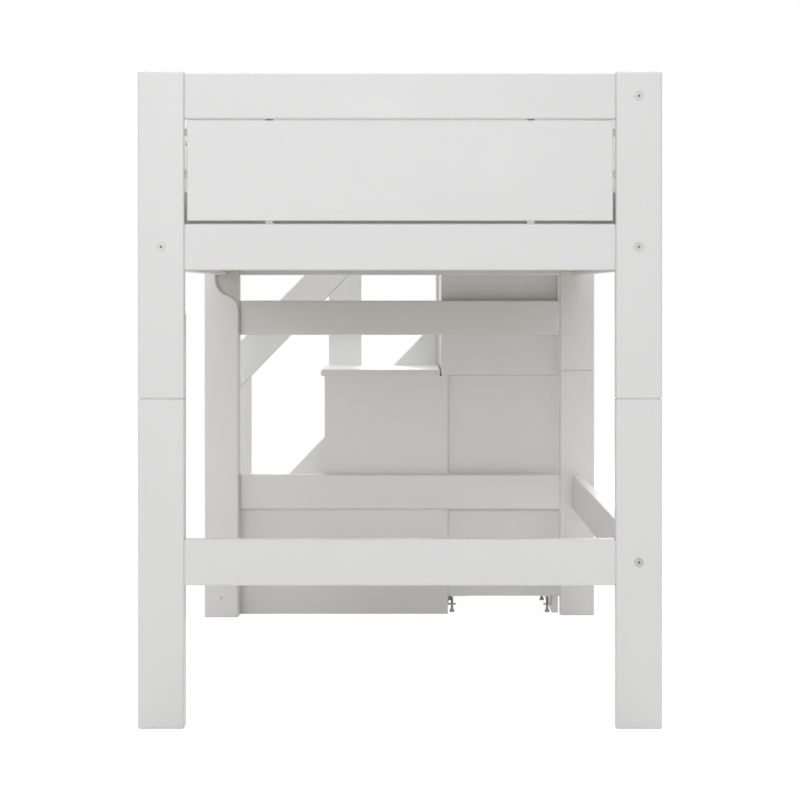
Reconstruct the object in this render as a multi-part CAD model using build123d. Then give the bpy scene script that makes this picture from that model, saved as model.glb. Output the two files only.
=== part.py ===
from build123d import *

import math
import os

# Mid sleeper bed with a staircase across its far end, in millimetres.
# X runs across the bed, Y runs from the near end to the staircase, Z is up.
# The origin is on the floor, at the centre of the whole footprint.

# Overall sizes of the bed and of its boards
bed_width = 1020.0
bed_length = 2070.0
bed_height = 1280.0
post_width = 90.0
end_thickness = 35.0
rail_height = 90.0
side_rail_thickness = 25.0
edge_bevel = 2.5
post_split_height = 643.0
post_proud = 3.0

# Heights of the undersides of the rails
lower_rail_bottom = 279.0
cross_rail_bottom = 736.0
main_rail_bottom = 893.0

# Stub tenons that hold the end rails in their posts
tenon_length = 28.0
tenon_thickness = 12.0
tenon_shoulder = 15.0
tenon_clearance = 0.3

# Guard panels between a top rail and a main rail, and the flat pegs that hold them
panel_thickness = 18.0
panel_recess = 1.0
panel_top_gap = 2.5
panel_bottom_gap = 6.0
panel_side_gap = 5.5
panel_bevel = 1.2
peg_width = 15.0
peg_thickness = 6.0
peg_depth = 9.0
peg_clearance = 0.2
end_panel_peg_offset = 255.0
end_panel_side_pegs = (26.0, 107.0)
side_panel_peg_offset = 700.0

# Support posts with an ogee, and the guard that they carry outside the side rail
support_width = 88.0
support_thickness = 50.0
support_neck = 28.0
ogee_bottom = 800.0
ogee_height = 82.0
guard_rail_thickness = 24.0

# Bolts with square nuts let into the rails, loose tongues across the posts' joints, and screws
bolt_diameter = 8.0
bolt_length = 75.0
bolt_head_diameter = 17.5
bolt_head_height = 3.0
hex_socket = 6.0
hex_depth = 2.0
bolt_clearance = 0.5
bore_end_gap = 0.7
head_clearance = 0.6
nut_width = 13.0
nut_thickness = 7.0
nut_from_end = 40.0
nut_clearance = 0.4
splice_width = 30.0
splice_thickness = 12.0
splice_length = 80.0
splice_clearance = 0.3
screw_diameter = 5.0
screw_length = 70.0
screw_clearance = 0.2
screw_head_diameter = 8.0
screw_head_height = 3.5
screw_low_height = 51.0
screw_high_height = 945.0

# Slatted base and mattress
ledger_bottom = 903.0
ledger_height = 16.0
ledger_width = 28.0
slat_thickness = 16.0
slat_width = 70.0
slat_count = 14
slat_end_gap = 4.0
slat_bevel = 2.0
mattress_gap = 5.0
mattress_height = 120.0
mattress_corner = 60.0
mattress_round = 22.0
mattress_waist = 5.0
mattress_crown = 6.0
seat_gap = 0.3

# Staircase: three steps that rise to the right, then the landing beside the bed
stair_left_inset = 10.0
stair_right_inset = 2.0
stair_depth = 460.0
step_rise = 318.5
step_run = 307.1
first_run = 301.4
first_step_height = 325.0
stair_board = 16.0
tread_thickness = 17.0
tread_nose = 10.0
nose_round = 6.0
tread_end_gap = 2.9
step_board_bevel = 1.0
niche_left_inset = 1.5
niche_height = 613.0
niche_recess = 16.0
niche_back_bottom = 46.0

# Drawers behind the three risers
drawer_gap = 2.0
drawer_wall = 12.0
drawer_floor = 6.0
drawer_back_gap = 12.0
runner_width = 20.0
runner_height = 18.0
runner_gap = 0.4
drawer_head_room = 6.0
floor_gap = 8.0
runner_lift = 4.0
grip_radius = 60.0
grip_depth = 24.0

# Banister on the side of the stairs that faces the room
newel_width = 90.0
first_newel_inset = 5.0
second_newel_inset = 0.6
third_newel_inset = -8.5
handrail_width = 90.0
handrail_over_corner = 512.7
guard_board_over_corner = 2.0
landing_rail_gap = 75.0

# Levelling feet and their brackets in the niche
foot_reach = 12.0
foot_front_inset = 48.0
foot_rear_inset = 353.0
foot_stem_diameter = 6.0
foot_stem_top = 41.0
foot_pad_diameter = 12.5
foot_pad_height = 3.0
bracket_height = 26.0
bracket_bottom = 20.0
bracket_plate = 2.5
bracket_width = 24.0
bracket_tab = 22.0
stem_clearance = 0.4
foot_hexagon = 11.0
foot_hexagon_height = 5.0

# Places worked out from the sizes above
total_depth = bed_length + stair_depth + end_thickness
near_face = -total_depth / 2
near_inner = near_face + end_thickness
far_outer = near_face + bed_length
far_inner = far_outer - end_thickness
stair_near = far_outer
stair_far = stair_near + stair_depth
banister_far = stair_far + end_thickness
half_width = bed_width / 2
post_inner = half_width - post_width
rail_centre = half_width - post_width / 2
rail_outer = rail_centre + side_rail_thickness / 2
rail_inner = rail_centre - side_rail_thickness / 2
top_rail_top = bed_height - post_proud
top_rail_bottom = top_rail_top - rail_height
main_rail_top = main_rail_bottom + rail_height
panel_bottom = main_rail_top + panel_bottom_gap
panel_top = top_rail_bottom - panel_top_gap
second_step_height = first_step_height + step_rise
landing_height = second_step_height + step_rise
slat_bottom = ledger_bottom + ledger_height
slat_top = slat_bottom + slat_thickness
slope_tangent = step_rise / step_run
slope_rise = handrail_width * math.hypot(1, slope_tangent)
stair_left = stair_left_inset - half_width
stair_right = post_inner - stair_right_inset
second_riser = stair_left + first_run
third_riser = second_riser + step_run
niche_left = third_riser + niche_left_inset
entry_right = niche_left
first_newel_left = first_newel_inset - half_width
second_newel_left = second_riser + second_newel_inset
third_newel_left = third_riser + third_newel_inset
mattress_width = 2 * rail_inner - 2 * mattress_gap
mattress_length = far_inner - near_inner - 2 * mattress_gap
stair_back = stair_far - stair_board
box_floor_top = niche_height + stair_board
niche_inner = stair_near + niche_recess + stair_board
landing_underside = landing_height - tread_thickness


def block(x0, x1, y0, y1, z0, z1):
    """A sharp-edged block between two corners."""
    middle = Pos((x0 + x1) / 2, (y0 + y1) / 2, (z0 + z1) / 2)
    return middle * Box(x1 - x0, y1 - y0, z1 - z0)


def board(x0, x1, y0, y1, z0, z1, bevel=edge_bevel):
    """A planed board between two corners, with every edge eased."""
    sharp = block(x0, x1, y0, y1, z0, z1)
    return chamfer(sharp.edges(), bevel)


def rod(axis, diameter, start, length):
    """A round rod along X, Y or Z, from its start point."""
    turns = {"X": Rot(0, 90, 0), "Y": Rot(-90, 0, 0), "Z": Rot(0, 0, 0)}
    straight = Cylinder(diameter / 2, length, align=(Align.CENTER, Align.CENTER, Align.MIN))
    return Pos(*start) * turns[axis] * straight


def mirrored(shape, side):
    """The shape itself on the right side, and its mirror image on the left."""
    if side > 0:
        return shape
    return mirror(shape, about=Plane.YZ)


# Places shared by what meets at them

near_panel_middle = near_face + panel_recess + panel_thickness / 2
far_post_middle = far_outer - end_thickness / 2
near_post_middle = near_face + end_thickness / 2
bed_middle = (near_face + far_outer) / 2
guard_centre = -half_width + support_neck / 2
guard_near = near_inner + support_thickness
guard_far = far_inner - support_thickness
support_centre = -half_width + support_width / 2
entry_left = entry_right - post_width


# Flat pegs that hold the guard panels off their neighbours

def peg(centre, size, gap):
    """A flat peg as a block of the given size, or its pocket with a gap all round."""
    (x, y, z), (width, depth, height) = centre, size
    return Pos(x, y, z) * Box(width + 2 * gap, depth + 2 * gap, height + 2 * gap)


def upright_pegs(spots, along_y, gap, below=True):
    """Pegs that stand in the gap above a guard panel, and in the gap below it."""
    across = (peg_thickness, peg_width) if along_y else (peg_width, peg_thickness)
    pegs = []
    for x, y in spots:
        middle = (panel_top + top_rail_bottom) / 2
        pegs.append(peg((x, y, middle), (*across, panel_top_gap + 2 * peg_depth), gap))
        if below:
            middle = (panel_bottom + main_rail_top) / 2
            pegs.append(peg((x, y, middle), (*across, panel_bottom_gap + 2 * peg_depth), gap))
    return pegs


def near_panel_pegs(gap=0.0):
    """Pegs of the panel at the near end, two more on each side."""
    pegs = upright_pegs([(side * end_panel_peg_offset, near_panel_middle) for side in (-1, 1)], False, gap)
    size = (panel_side_gap + 2 * peg_depth, peg_thickness, peg_width)
    for drop in end_panel_side_pegs:
        for side in (-1, 1):
            x = side * (post_inner - panel_side_gap / 2)
            pegs.append(peg((x, near_panel_middle, top_rail_bottom - drop), size, gap))
    return pegs


def right_panel_pegs(gap=0.0):
    """Pegs of the panel on the right side."""
    spots = [(rail_centre, bed_middle + side * side_panel_peg_offset) for side in (-1, 1)]
    return upright_pegs(spots, True, gap)


def far_panel_pegs(gap=0.0):
    """Pegs of the short panel beside the way in at the far end."""
    middle = (entry_left - post_inner) / 2
    reach = (entry_left + post_inner) / 4
    return upright_pegs([(middle + side * reach, far_post_middle) for side in (-1, 1)], False, gap)


def left_panel_pegs(gap=0.0):
    """Pegs of the panel on the left side, above it and into its two supports."""
    spots = [(guard_centre, bed_middle + side * side_panel_peg_offset) for side in (-1, 1)]
    pegs = upright_pegs(spots, True, gap, False)
    size = (peg_thickness, panel_side_gap + 2 * peg_depth, peg_width)
    for drop in end_panel_side_pegs:
        for y in (guard_near + panel_side_gap / 2, guard_far - panel_side_gap / 2):
            pegs.append(peg((guard_centre, y, top_rail_bottom - drop), size, gap))
    return pegs


def pocketed(shape, pegs):
    """The shape with a pocket for each peg that enters it."""
    for hollow in pegs:
        shape -= hollow
    return shape


def post_splice(end, side, gap=0.0):
    """Loose tongue that joins the halves of one corner post, or its pocket."""
    y = near_post_middle if end == "near" else far_post_middle
    size = (splice_width + 2 * gap, splice_thickness + 2 * gap, splice_length + 2 * gap)
    return Pos(side * rail_centre, y, post_split_height) * Box(*size)


# Bolts, nuts and screws

def side_rail_heights(side):
    """Centre heights of the rails that are bolted to the posts of one side."""
    heights = [main_rail_bottom + rail_height / 2]
    if side > 0:
        heights.append(lower_rail_bottom + rail_height / 2)
        heights.append(top_rail_bottom + rail_height / 2)
    return heights


def bolt_places():
    """Side, outward direction along Y, and height of each bolt through a post."""
    return [(side, out, z) for side in (-1, 1) for z in side_rail_heights(side) for out in (-1, 1)]


def outer_face(out):
    """The face of the end frame that a bolt head lies in."""
    return near_face if out < 0 else far_outer


def along(out, x, z, depth, length, diameter):
    """A rod along Y that starts at a depth under an end frame's outer face and runs inwards."""
    face = outer_face(out)
    start = face + depth if out < 0 else face - depth - length
    return rod("Y", diameter, (x, start, z), length)


def bolt_bore(side, out, z):
    """Clearance bore for one bolt, with a sunk seat for its head."""
    x = side * rail_centre
    depth = bolt_head_height + bolt_length + bore_end_gap
    bore = along(out, x, z, 0, depth, bolt_diameter + bolt_clearance)
    return bore + along(out, x, z, -1, 1 + bolt_head_height, bolt_head_diameter + head_clearance)


def nut_centre(out):
    """Y of a nut in the end of a side rail."""
    depth = end_thickness + nut_from_end
    return near_face + depth if out < 0 else far_outer - depth


def nut_block(side, out, z, gap=0.0):
    """Square nut on a bolt, or its pocket, which is open on the inner face of the rail."""
    reach = nut_width / 2 + gap
    x1 = rail_centre + reach
    x0 = rail_inner - 1 if gap else rail_centre - reach
    half = nut_thickness / 2 + gap
    y = nut_centre(out)
    return mirrored(block(x0, x1, y - half, y + half, z - reach, z + reach), side)


def screw_lines():
    """Outward direction and height of each screw that holds a support to its post."""
    return [(out, z) for out in (-1, 1) for z in (screw_low_height, screw_high_height)]


def screw_shape(out, z, gap=0.0):
    """A countersunk screw through a support into the post behind it, or its hole."""
    x = support_centre if z < ogee_bottom else guard_centre
    inner = end_thickness + support_thickness
    reach = screw_length + gap
    shank = along(out, x, z, inner - reach, reach, screw_diameter + gap)
    return shank + along(out, x, z, inner - screw_head_height, screw_head_height, screw_head_diameter + gap)


# Corner posts

def end_rail_bottoms(end, side):
    """Undersides of the rails that are tenoned into one post."""
    if end == "near":
        return [lower_rail_bottom, main_rail_bottom, top_rail_bottom]
    bottoms = [lower_rail_bottom, cross_rail_bottom, main_rail_bottom]
    if side < 0:
        bottoms.append(top_rail_bottom)
    return bottoms


def mortise(x_face, towards, y, rail_bottom):
    """Pocket for a stub tenon, cut into wood that begins at x_face."""
    half = tenon_thickness / 2 + tenon_clearance
    low = rail_bottom + tenon_shoulder - tenon_clearance
    high = rail_bottom + rail_height - tenon_shoulder + tenon_clearance
    x0, x1 = sorted((x_face - towards, x_face + towards * (tenon_length + tenon_clearance)))
    return block(x0, x1, y - half, y + half, low, high)


def corner_post(end, side, low, high):
    """One half of a corner post, bored and mortised for what it carries."""
    y = near_post_middle if end == "near" else far_post_middle
    out = -1 if end == "near" else 1
    x0, x1 = sorted((side * post_inner, side * half_width))
    post = board(x0, x1, y - end_thickness / 2, y + end_thickness / 2, low, high)
    for bottom in end_rail_bottoms(end, side):
        if low < bottom < high:
            post -= mortise(side * post_inner, side, y, bottom)
    for z in side_rail_heights(side):
        if low < z < high:
            post -= bolt_bore(side, out, z)
    post -= post_splice(end, side, splice_clearance)
    if end == "near" and high == bed_height:
        post = pocketed(post, near_panel_pegs(peg_clearance))
    if side < 0:
        for direction, z in screw_lines():
            if direction == out and low < z < high:
                post -= screw_shape(out, z, screw_clearance)
    return post


# Rails of the end frames

def tenoned_rail(x0, x1, y, bottom):
    """A rail across the bed, with a stub tenon on each end."""
    rail = board(x0, x1, y - end_thickness / 2, y + end_thickness / 2, bottom, bottom + rail_height)
    half = tenon_thickness / 2
    low = bottom + tenon_shoulder
    high = bottom + rail_height - tenon_shoulder
    rail += block(x0 - tenon_length, x0 + edge_bevel, y - half, y + half, low, high)
    rail += block(x1 - edge_bevel, x1 + tenon_length, y - half, y + half, low, high)
    return rail


def near_top_rail():
    """Top rail of the near end frame."""
    rail = tenoned_rail(-post_inner, post_inner, near_post_middle, top_rail_bottom)
    return pocketed(rail, near_panel_pegs(peg_clearance))


def near_main_rail():
    """Main rail of the near end frame, which carries the guard panel on pegs."""
    rail = tenoned_rail(-post_inner, post_inner, near_post_middle, main_rail_bottom)
    return pocketed(rail, near_panel_pegs(peg_clearance))


def near_guard_panel():
    """Guard panel of the near end frame, held off its neighbours on pegs."""
    edge = post_inner - panel_side_gap
    front = near_face + panel_recess
    panel = board(-edge, edge, front, front + panel_thickness, panel_bottom, panel_top, panel_bevel)
    return pocketed(panel, near_panel_pegs(peg_clearance))


def entry_tenon(gap=0.0):
    """Tenon under the entry post, or its pocket in the main rail."""
    half = tenon_thickness / 2 + gap
    inset = tenon_shoulder - gap
    y = far_post_middle
    x0 = entry_left + inset
    x1 = entry_right - inset
    return block(x0, x1, y - half, y + half, main_rail_top - tenon_length - gap, main_rail_top + edge_bevel)


def far_main_rail():
    """Main rail of the far end frame, which is also the sill of the way in."""
    rail = tenoned_rail(-post_inner, post_inner, far_post_middle, main_rail_bottom)
    rail -= entry_tenon(tenon_clearance)
    return pocketed(rail, far_panel_pegs(peg_clearance))


def far_top_rail():
    """Short top rail between the far left post and the entry post."""
    rail = tenoned_rail(-post_inner, entry_left, far_post_middle, top_rail_bottom)
    return pocketed(rail, far_panel_pegs(peg_clearance))


def far_guard_panel():
    """Short guard panel beside the way in."""
    y = far_post_middle
    x0 = -post_inner + panel_side_gap
    x1 = entry_left - panel_side_gap
    panel = board(x0, x1, y - panel_thickness / 2, y + panel_thickness / 2, panel_bottom, panel_top, panel_bevel)
    return pocketed(panel, far_panel_pegs(peg_clearance))


def entry_post():
    """Short post on the far main rail that ends the guard at the way in."""
    y = far_post_middle
    post = board(entry_left, entry_right, y - end_thickness / 2, y + end_thickness / 2, main_rail_top, bed_height)
    post += entry_tenon()
    return post - mortise(entry_left, 1, y, top_rail_bottom)


# Rails and panels of the long sides

def side_rail(side, bottom):
    """A long rail that is bolted to the near and the far post of one side."""
    x0, x1 = sorted((side * rail_inner, side * rail_outer))
    rail = board(x0, x1, near_inner, far_inner, bottom, bottom + rail_height)
    z = bottom + rail_height / 2
    for out in (-1, 1):
        rail -= bolt_bore(side, out, z)
        rail -= nut_block(side, out, z, nut_clearance)
    return rail


def right_top_rail():
    """Top rail of the right guard."""
    rail = side_rail(1, top_rail_bottom)
    return pocketed(rail, right_panel_pegs(peg_clearance))


def right_main_rail():
    """Main rail of the right side, under its guard panel."""
    rail = side_rail(1, main_rail_bottom)
    return pocketed(rail, right_panel_pegs(peg_clearance))


def right_guard_panel():
    """Guard panel of the right side."""
    x0 = rail_centre - panel_thickness / 2
    x1 = rail_centre + panel_thickness / 2
    y0 = near_inner + panel_side_gap
    y1 = far_inner - panel_side_gap
    panel = board(x0, x1, y0, y1, panel_bottom, panel_top, panel_bevel)
    return pocketed(panel, right_panel_pegs(peg_clearance))


def ogee_outline():
    """Outline of a support: a full-width leg that sweeps into a narrow neck by an ogee."""
    neck_x = -half_width + support_neck
    leg_x = -half_width + support_width
    top = ogee_bottom + ogee_height
    middle = ((neck_x + leg_x) / 2, (ogee_bottom + top) / 2)
    run = (leg_x - neck_x) / 2
    rise = ogee_height / 2
    radius = (run * run + rise * rise) / (2 * run)
    sweep = math.degrees(math.asin(rise / radius))
    lower = CenterArc((leg_x - radius, ogee_bottom), radius, 0, sweep)
    upper = CenterArc((neck_x + radius, top), radius, 180, sweep)
    corners = [
        (leg_x, ogee_bottom), (leg_x, 0), (-half_width, 0),
        (-half_width, bed_height), (neck_x, bed_height), (neck_x, top),
    ]
    straight = Polyline(*corners)
    return make_face([straight, lower, upper])


def support_post(out):
    """Full-height support beside a left corner post, which carries the left guard."""
    inner = near_inner if out < 0 else far_inner - support_thickness
    flat = ogee_outline()
    leg = Pos(0, inner + support_thickness, 0) * (Rot(90, 0, 0) * extrude(flat, support_thickness))
    inner_face = leg.faces().sort_by(Axis.Y)[-1 if out < 0 else 0]
    leg = chamfer(inner_face.edges(), edge_bevel)
    for direction, z in screw_lines():
        if direction == out:
            leg -= screw_shape(out, z, screw_clearance)
    leg -= guard_mortise(out)
    return pocketed(leg, left_panel_pegs(peg_clearance))


def guard_tenon(out, gap=0.0):
    """Stub tenon of the left guard rail along Y, or its mortise in a support."""
    half = tenon_thickness / 2 + gap
    face = guard_near if out < 0 else guard_far
    y0, y1 = sorted((face - out, face + out * (tenon_length + gap)))
    low = top_rail_bottom + tenon_shoulder - gap
    high = top_rail_top - tenon_shoulder + gap
    return block(guard_centre - half, guard_centre + half, y0, y1, low, high)


def guard_mortise(out):
    """Pocket in a support for the left guard rail."""
    return guard_tenon(out, tenon_clearance)


def left_guard_rail():
    """Top rail of the left guard, tenoned between the two supports."""
    x0 = guard_centre - guard_rail_thickness / 2
    x1 = guard_centre + guard_rail_thickness / 2
    rail = board(x0, x1, guard_near, guard_far, top_rail_bottom, top_rail_top)
    rail += guard_tenon(-1)
    rail += guard_tenon(1)
    return pocketed(rail, left_panel_pegs(peg_clearance))


def left_guard_panel():
    """Guard panel of the left side, hung on pegs between the supports."""
    x0 = guard_centre - panel_thickness / 2
    x1 = guard_centre + panel_thickness / 2
    y0 = guard_near + panel_side_gap
    y1 = guard_far - panel_side_gap
    panel = board(x0, x1, y0, y1, panel_bottom, panel_top, panel_bevel)
    return pocketed(panel, left_panel_pegs(peg_clearance))


# Slatted base and mattress

def slat_ledgers():
    """Battens screwed inside the two main side rails, which carry the slats."""
    ledgers = []
    for side in (-1, 1):
        x0, x1 = sorted((side * rail_inner, side * (rail_inner - ledger_width)))
        ledgers.append(board(x0, x1, near_inner, far_inner, ledger_bottom, slat_bottom, slat_bevel))
    return ledgers


def bed_slats():
    """Evenly spaced slats that lie on the ledgers."""
    reach = rail_inner - slat_end_gap
    pitch = (far_inner - near_inner - slat_width) / slat_count
    slats = []
    for index in range(slat_count):
        y = near_inner + (index + 0.5) * pitch
        slat = block(-reach, reach, y, y + slat_width, slat_bottom, slat_top)
        slats.append(chamfer(slat.edges().filter_by(Axis.X), slat_bevel))
    return slats


def mattress():
    """Foam mattress with drawn-in sides and a crowned top, flat where it lies on the slats."""
    low = slat_top + seat_gap
    body = mattress_height - mattress_crown
    steps = 2
    rings = []
    for index in range(steps + 1):
        turn = math.radians(90 * index / steps)
        inset = mattress_round * (1 - math.sin(turn))
        rings.append((mattress_round * (1 - math.cos(turn)), inset))
    rings.append((body / 2, mattress_waist))
    for index in range(steps + 1):
        turn = math.radians(90 * index / steps)
        inset = mattress_round * (1 - math.cos(turn))
        rings.append((body - mattress_round * (1 - math.sin(turn)), inset))
    shortest = mattress_width / 2 - mattress_corner
    for share in (0.25, 0.6):
        rise = mattress_crown * math.sin(math.radians(90 * share))
        rings.append((body + rise, mattress_round + share * (shortest - mattress_round)))
    sections = []
    for height, inset in rings:
        outline = RectangleRounded(mattress_width - 2 * inset, mattress_length - 2 * inset, mattress_corner)
        sections.append(Pos(0, bed_middle, low + height) * outline)
    return loft(sections, ruled=True)


# Staircase

def step_height(index):
    """Height of the top of a step, from 0 for the lowest."""
    return first_step_height + index * step_rise


def sawn_board(points, y0, y1):
    """A board of a given outline in X and Z, between two planes along Y."""
    outline = make_face(Polyline(*points, close=True))
    return Pos(0, y1, 0) * (Rot(90, 0, 0) * extrude(outline, y1 - y0))


def eased_board(points, y0, y1):
    """A sawn board whose four edges along the grain are eased, which are its longest ones."""
    solid = sawn_board(points, y0, y1)
    return chamfer(solid.edges().sort_by(SortBy.LENGTH)[-4:], edge_bevel)


def stepped_side(y0, y1):
    """Side of the two lower steps, one L-shaped board down to the floor."""
    first_top = step_height(0) - tread_thickness
    second_top = step_height(1) - tread_thickness
    points = [
        (stair_left, 0), (niche_left, 0), (niche_left, second_top),
        (second_riser, second_top), (second_riser, first_top), (stair_left, first_top),
    ]
    solid = sawn_board(points, y0, y1)
    upright = solid.edges().filter_by(Axis.Z)
    return chamfer([edge for edge in upright if edge.center().X < second_riser - 1], step_board_bevel)


def niche_left_side():
    """Upright board on the left of the niche, which also ends the two lower drawers."""
    x1 = niche_left + stair_board
    lower = block(niche_left, x1, stair_near, stair_far, 0, niche_height)
    upper = block(niche_left, x1, stair_near, stair_back, 0, box_floor_top)
    return lower + upper


def niche_right_side():
    """Upright board at the right end, behind the niche's back and the panel of the upper box."""
    x0 = stair_right - stair_board
    lower = block(x0, stair_right, niche_inner, stair_far, 0, niche_height)
    middle = block(x0, stair_right, niche_inner, stair_back, 0, box_floor_top)
    upper = block(x0, stair_right, stair_near + stair_board, stair_back, box_floor_top, landing_underside)
    return lower + middle + upper


def niche_back():
    """Back of the niche, set in a little from the side that faces the bed and held clear of the floor."""
    x0 = niche_left + stair_board
    y0 = stair_near + niche_recess
    return board(x0, stair_right, y0, niche_inner, niche_back_bottom, box_floor_top, step_board_bevel)


def landing_box_back():
    """Back board of the upper box, over the niche's open side."""
    return board(niche_left, stair_right, stair_back, stair_far, niche_height, landing_underside, step_board_bevel)


def landing_box_floor():
    """Board over the niche, on which the upper drawer's runners lie."""
    x0 = niche_left + stair_board
    x1 = stair_right - stair_board
    return board(x0, x1, niche_inner, stair_back, niche_height, box_floor_top, step_board_bevel)


def landing_box_panel():
    """Panel that closes the upper box towards the bed."""
    y1 = stair_near + stair_board
    return board(third_riser, stair_right, stair_near, y1, box_floor_top, landing_underside, step_board_bevel)


def tread(x0, x1, index):
    """A tread whose front edge stands out past its riser and is rounded."""
    top = step_height(index)
    slab = block(x0, x1, stair_near, stair_far, top - tread_thickness, top)
    nose = [edge for edge in slab.edges().filter_by(Axis.Y) if edge.center().X < x0 + 1]
    slab = fillet(nose, nose_round)
    rest = [edge for edge in slab.edges().filter_by(Axis.Y) if edge.center().X > x1 - 1]
    return chamfer(rest, step_board_bevel)


# Drawers

def drawer_sizes(index):
    """Front X, back X, lower edge and upper edge of the front of one drawer."""
    front = (stair_left, second_riser, third_riser)[index]
    back = stair_right - stair_board if index == 2 else niche_left
    low = floor_gap if index == 0 else step_height(index - 1) + drawer_gap
    high = step_height(index) - tread_thickness - drawer_gap
    return front, back, low, high


def runner_top(index):
    """Upper face of the runners under one drawer."""
    return drawer_sizes(index)[2] + runner_lift + runner_height


def drawer_front(index):
    """Riser that is the front of a drawer, with a scooped grip in its upper edge."""
    front, back, low, high = drawer_sizes(index)
    y0 = stair_near + stair_board + drawer_gap
    y1 = stair_back - drawer_gap
    face = board(front, front + stair_board, y0, y1, low, high, step_board_bevel)
    centre = (front - 1, (y0 + y1) / 2, high + grip_radius - grip_depth)
    return face - rod("X", 2 * grip_radius, centre, stair_board + 2)


def drawer_box(index):
    """Open box behind a drawer front, with its bottom let into its four walls."""
    front, back, low, high = drawer_sizes(index)
    x0 = front + stair_board
    x1 = back - drawer_back_gap
    y0 = stair_near + stair_board + drawer_gap
    y1 = stair_back - drawer_gap
    z0 = runner_top(index) + runner_gap
    z1 = high - drawer_head_room - grip_depth
    outer = block(x0, x1, y0, y1, z0, z1)
    inner = block(x0 + drawer_wall, x1 - drawer_wall, y0 + drawer_wall, y1 - drawer_wall, z0 + drawer_floor, z1 + 1)
    return outer - inner


def drawer_runners():
    """Two battens on the sides of the stairs under each drawer."""
    runners = []
    for index in range(3):
        front, back, low, high = drawer_sizes(index)
        top = runner_top(index)
        x0 = front + stair_board + drawer_gap
        for y0 in (stair_near + stair_board, stair_back - runner_width):
            runners.append(block(x0, back, y0, y0 + runner_width, top - runner_height, top))
    return runners


# Banister and landing rails

def corner_line(x):
    """Height at x of the line through the inner corners of the steps."""
    return first_step_height + slope_tangent * (x - second_riser)


def handrail_underside(x):
    """Height of the lower edge of the sloping handrail at x."""
    return corner_line(x) + handrail_over_corner


def guard_board_underside(x):
    """Height of the lower edge of the sloping board beside the steps at x."""
    return corner_line(x) + guard_board_over_corner


def sloping_board(x0, x1, underside):
    """A board that climbs with the stairs, cut upright at both ends."""
    points = [(x0, underside(x0)), (x1, underside(x1))]
    points += [(x, z + slope_rise) for x, z in reversed(points)]
    return eased_board(points, stair_far, banister_far)


def stair_newels():
    """Two posts under the handrail, cut off along its slope."""
    posts = []
    for x0 in (first_newel_left, second_newel_left):
        x1 = x0 + newel_width
        points = [(x0, 0), (x1, 0), (x1, handrail_underside(x1)), (x0, handrail_underside(x0))]
        posts.append(eased_board(points, stair_far, banister_far))
    return posts


def handrail():
    """Sloping handrail from the lowest newel to the landing."""
    return sloping_board(first_newel_left, third_newel_left, handrail_underside)


def stair_guard_boards():
    """Sloping boards between the newels, whose lower edge follows the inner corners of the steps."""
    spans = [
        (first_newel_left + newel_width, second_newel_left),
        (second_newel_left + newel_width, third_newel_left),
    ]
    return [sloping_board(x0, x1, guard_board_underside) for x0, x1 in spans]


def landing_newels():
    """Two full-height posts at the corners of the landing."""
    posts = []
    for x0 in (third_newel_left, post_inner):
        posts.append(board(x0, x0 + newel_width, stair_far, banister_far, 0, bed_height))
    return posts


def landing_rails():
    """Two rails behind the landing and two on its right side."""
    rails = []
    middle = (stair_far + banister_far) / 2
    y0 = middle - side_rail_thickness / 2
    x0 = third_newel_left + newel_width
    for bottom in (top_rail_bottom, landing_height + landing_rail_gap):
        top = bottom + rail_height
        rails.append(board(x0, post_inner, y0, y0 + side_rail_thickness, bottom, top))
        rails.append(board(rail_inner, rail_outer, far_outer, stair_far, bottom, top))
    return rails


# Levelling feet

def foot_places():
    """Side of the niche, X and Y of each levelling foot."""
    places = []
    for y in (stair_near + foot_front_inset, stair_near + foot_rear_inset):
        places.append((1, niche_left + stair_board + foot_reach, y))
        places.append((-1, stair_right - stair_board - foot_reach, y))
    return places


def levelling_foot(x, y):
    """Threaded foot with a round pad and a hexagon for the spanner."""
    pad = rod("Z", foot_pad_diameter, (x, y, 0), foot_pad_height)
    stem = rod("Z", foot_stem_diameter, (x, y, 0), foot_stem_top)
    hexagon = extrude(RegularPolygon(foot_hexagon / 2, 6), foot_hexagon_height)
    return pad + stem + Pos(x, y, foot_pad_height) * hexagon


def foot_brackets():
    """Angle brackets on the sides of the niche, each with a threaded hole for a foot."""
    brackets = []
    for side, x, y in foot_places():
        face = x - side * foot_reach
        low = bracket_bottom
        x0, x1 = sorted((face, face + side * bracket_plate))
        plate = block(x0, x1, y - bracket_width / 2, y + bracket_width / 2, low, low + bracket_height)
        x0, x1 = sorted((face, face + side * bracket_tab))
        tab = block(x0, x1, y - bracket_width / 2, y + bracket_width / 2, low, low + bracket_plate)
        hole = rod("Z", foot_stem_diameter + stem_clearance, (x, y, low - 1), bracket_plate + 2)
        brackets.append(plate + tab - hole)
    return brackets


# Loose fasteners

def frame_bolts():
    """Bolts with a hexagon socket through the posts, and the screws of the two supports."""
    bolts = []
    for side, out, z in bolt_places():
        x = side * rail_centre
        head = along(out, x, z, 0, bolt_head_height, bolt_head_diameter)
        shank = along(out, x, z, bolt_head_height, bolt_length, bolt_diameter)
        face = outer_face(out)
        start = face if out < 0 else face - hex_depth
        socket = extrude(RegularPolygon(hex_socket / 2, 6), hex_depth)
        socket = Pos(x, start + hex_depth, z) * (Rot(90, 0, 0) * socket)
        bolts.append(head + shank - socket)
    for out, z in screw_lines():
        bolts.append(screw_shape(out, z))
    return bolts


def square_nuts():
    """Square nuts let into the ends of the side rails."""
    nuts = []
    for side, out, z in bolt_places():
        nuts.append(nut_block(side, out, z) - bolt_bore(side, out, z))
    return nuts


def panel_pegs():
    """Flat pegs of all the guard panels."""
    return near_panel_pegs() + right_panel_pegs() + far_panel_pegs() + left_panel_pegs()


def post_splices():
    """Loose tongues across the joints of the four corner posts."""
    return [post_splice(end, side) for end in ("near", "far") for side in (-1, 1)]


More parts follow.
